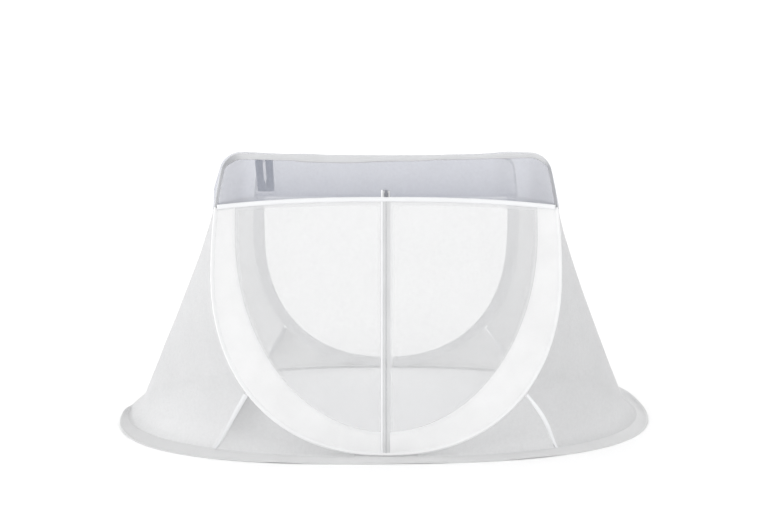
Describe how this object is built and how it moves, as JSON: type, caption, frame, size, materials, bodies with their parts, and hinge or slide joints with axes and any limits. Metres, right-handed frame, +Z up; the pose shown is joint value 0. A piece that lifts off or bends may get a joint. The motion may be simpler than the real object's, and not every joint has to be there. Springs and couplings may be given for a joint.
{
  "type": "mosquito net canopy with hoop frame",
  "caption": "Free-standing mosquito net canopy stretched on a front and a back hoop, with a zipped net door, sloping net sides, a grey sun valance and roof, and a skirt on the floor.",
  "frame": {"origin": "middle of the floor area, on the floor, under the centre of the skirt's box", "axes": "+X to the right across the front, +Y from the zipped front to the back, +Z up"},
  "size_m": [2, 1.1894, 0.9845],
  "materials": {
    "hoop_sleeve": "smooth woven sleeve",
    "white_border": "opaque plain weave, matte",
    "door_net": "fine sheer mesh",
    "side_net": "fine dense mesh",
    "grey_shade": "sheer grey-blue shade cloth",
    "white_binding": "folded binding tape",
    "zip_tape": "woven tape",
    "zip_chain": "fine coil",
    "zip_slider": "satin",
    "webbing": "ribbed webbing"
  },
  "bodies": {
    "root": {"front_hoop": "hoop_sleeve", "back_hoop": "hoop_sleeve", "front_border_left": "white_border", "front_border_right": "white_border", "back_border": "white_border", "front_net_left": "door_net", "front_net_right": "door_net", "back_net": "door_net", "front_valance": "grey_shade", "back_valance": "grey_shade", "roof": "grey_shade", "bound_edge": "white_binding", "zip_tape": "zip_tape", "zip_chain": "zip_chain", "zip_slider": "zip_slider", "zip_flap": "white_binding", "side_net_left": "side_net", "side_net_right": "side_net", "gusset_front_left": "side_net", "gusset_front_right": "side_net", "gusset_back_left": "side_net", "gusset_back_right": "side_net", "seam_tape_front_left": "white_binding", "seam_tape_front_right": "white_binding", "seam_tape_back_left": "white_binding", "seam_tape_back_right": "white_binding", "floor_skirt": "side_net", "strap_loop": "webbing"}
  },
  "joints": []
}
